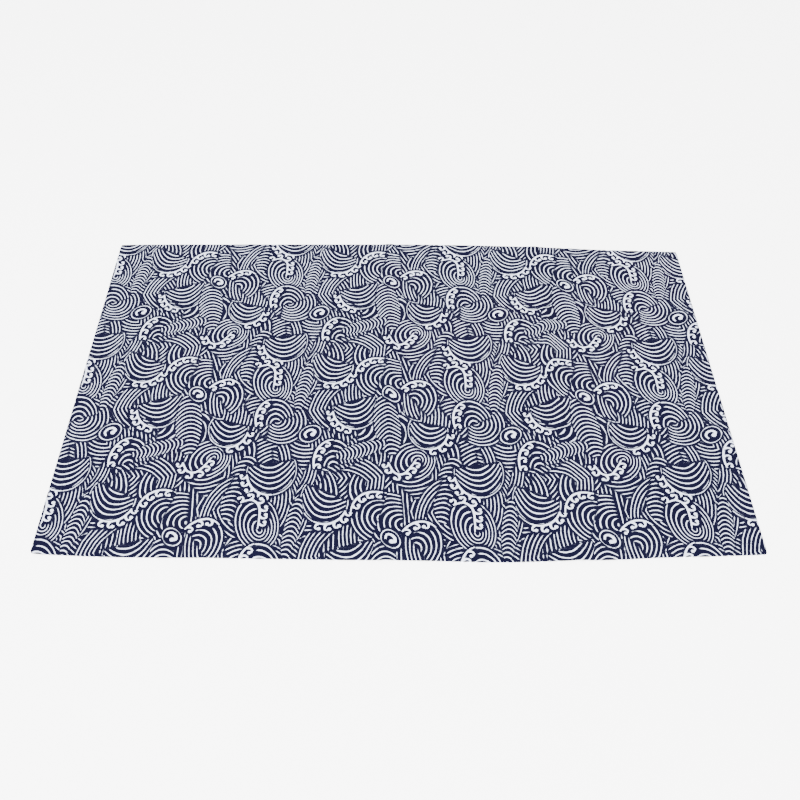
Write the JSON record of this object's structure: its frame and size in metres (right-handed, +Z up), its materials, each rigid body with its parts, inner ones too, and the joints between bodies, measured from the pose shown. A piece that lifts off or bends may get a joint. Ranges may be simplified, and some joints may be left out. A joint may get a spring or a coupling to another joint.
{
  "type": "cloth napkin",
  "caption": "Rectangular hemmed cotton napkin laid flat, printed all over, with soft storage creases running front to back.",
  "frame": {"origin": "on the surface that the napkin lies on, under the middle of its plan", "axes": "+Z up through the cloth, +X to the right along the long side, -Y towards the front edge"},
  "size_m": [0.4544, 0.3082, 0.0048],
  "materials": {
    "printed_cotton": "matt plain-weave cotton, dark navy with an off-white all-over line print of waves"
  },
  "bodies": {
    "root": {"napkin_cloth": "printed_cotton"}
  },
  "joints": []
}
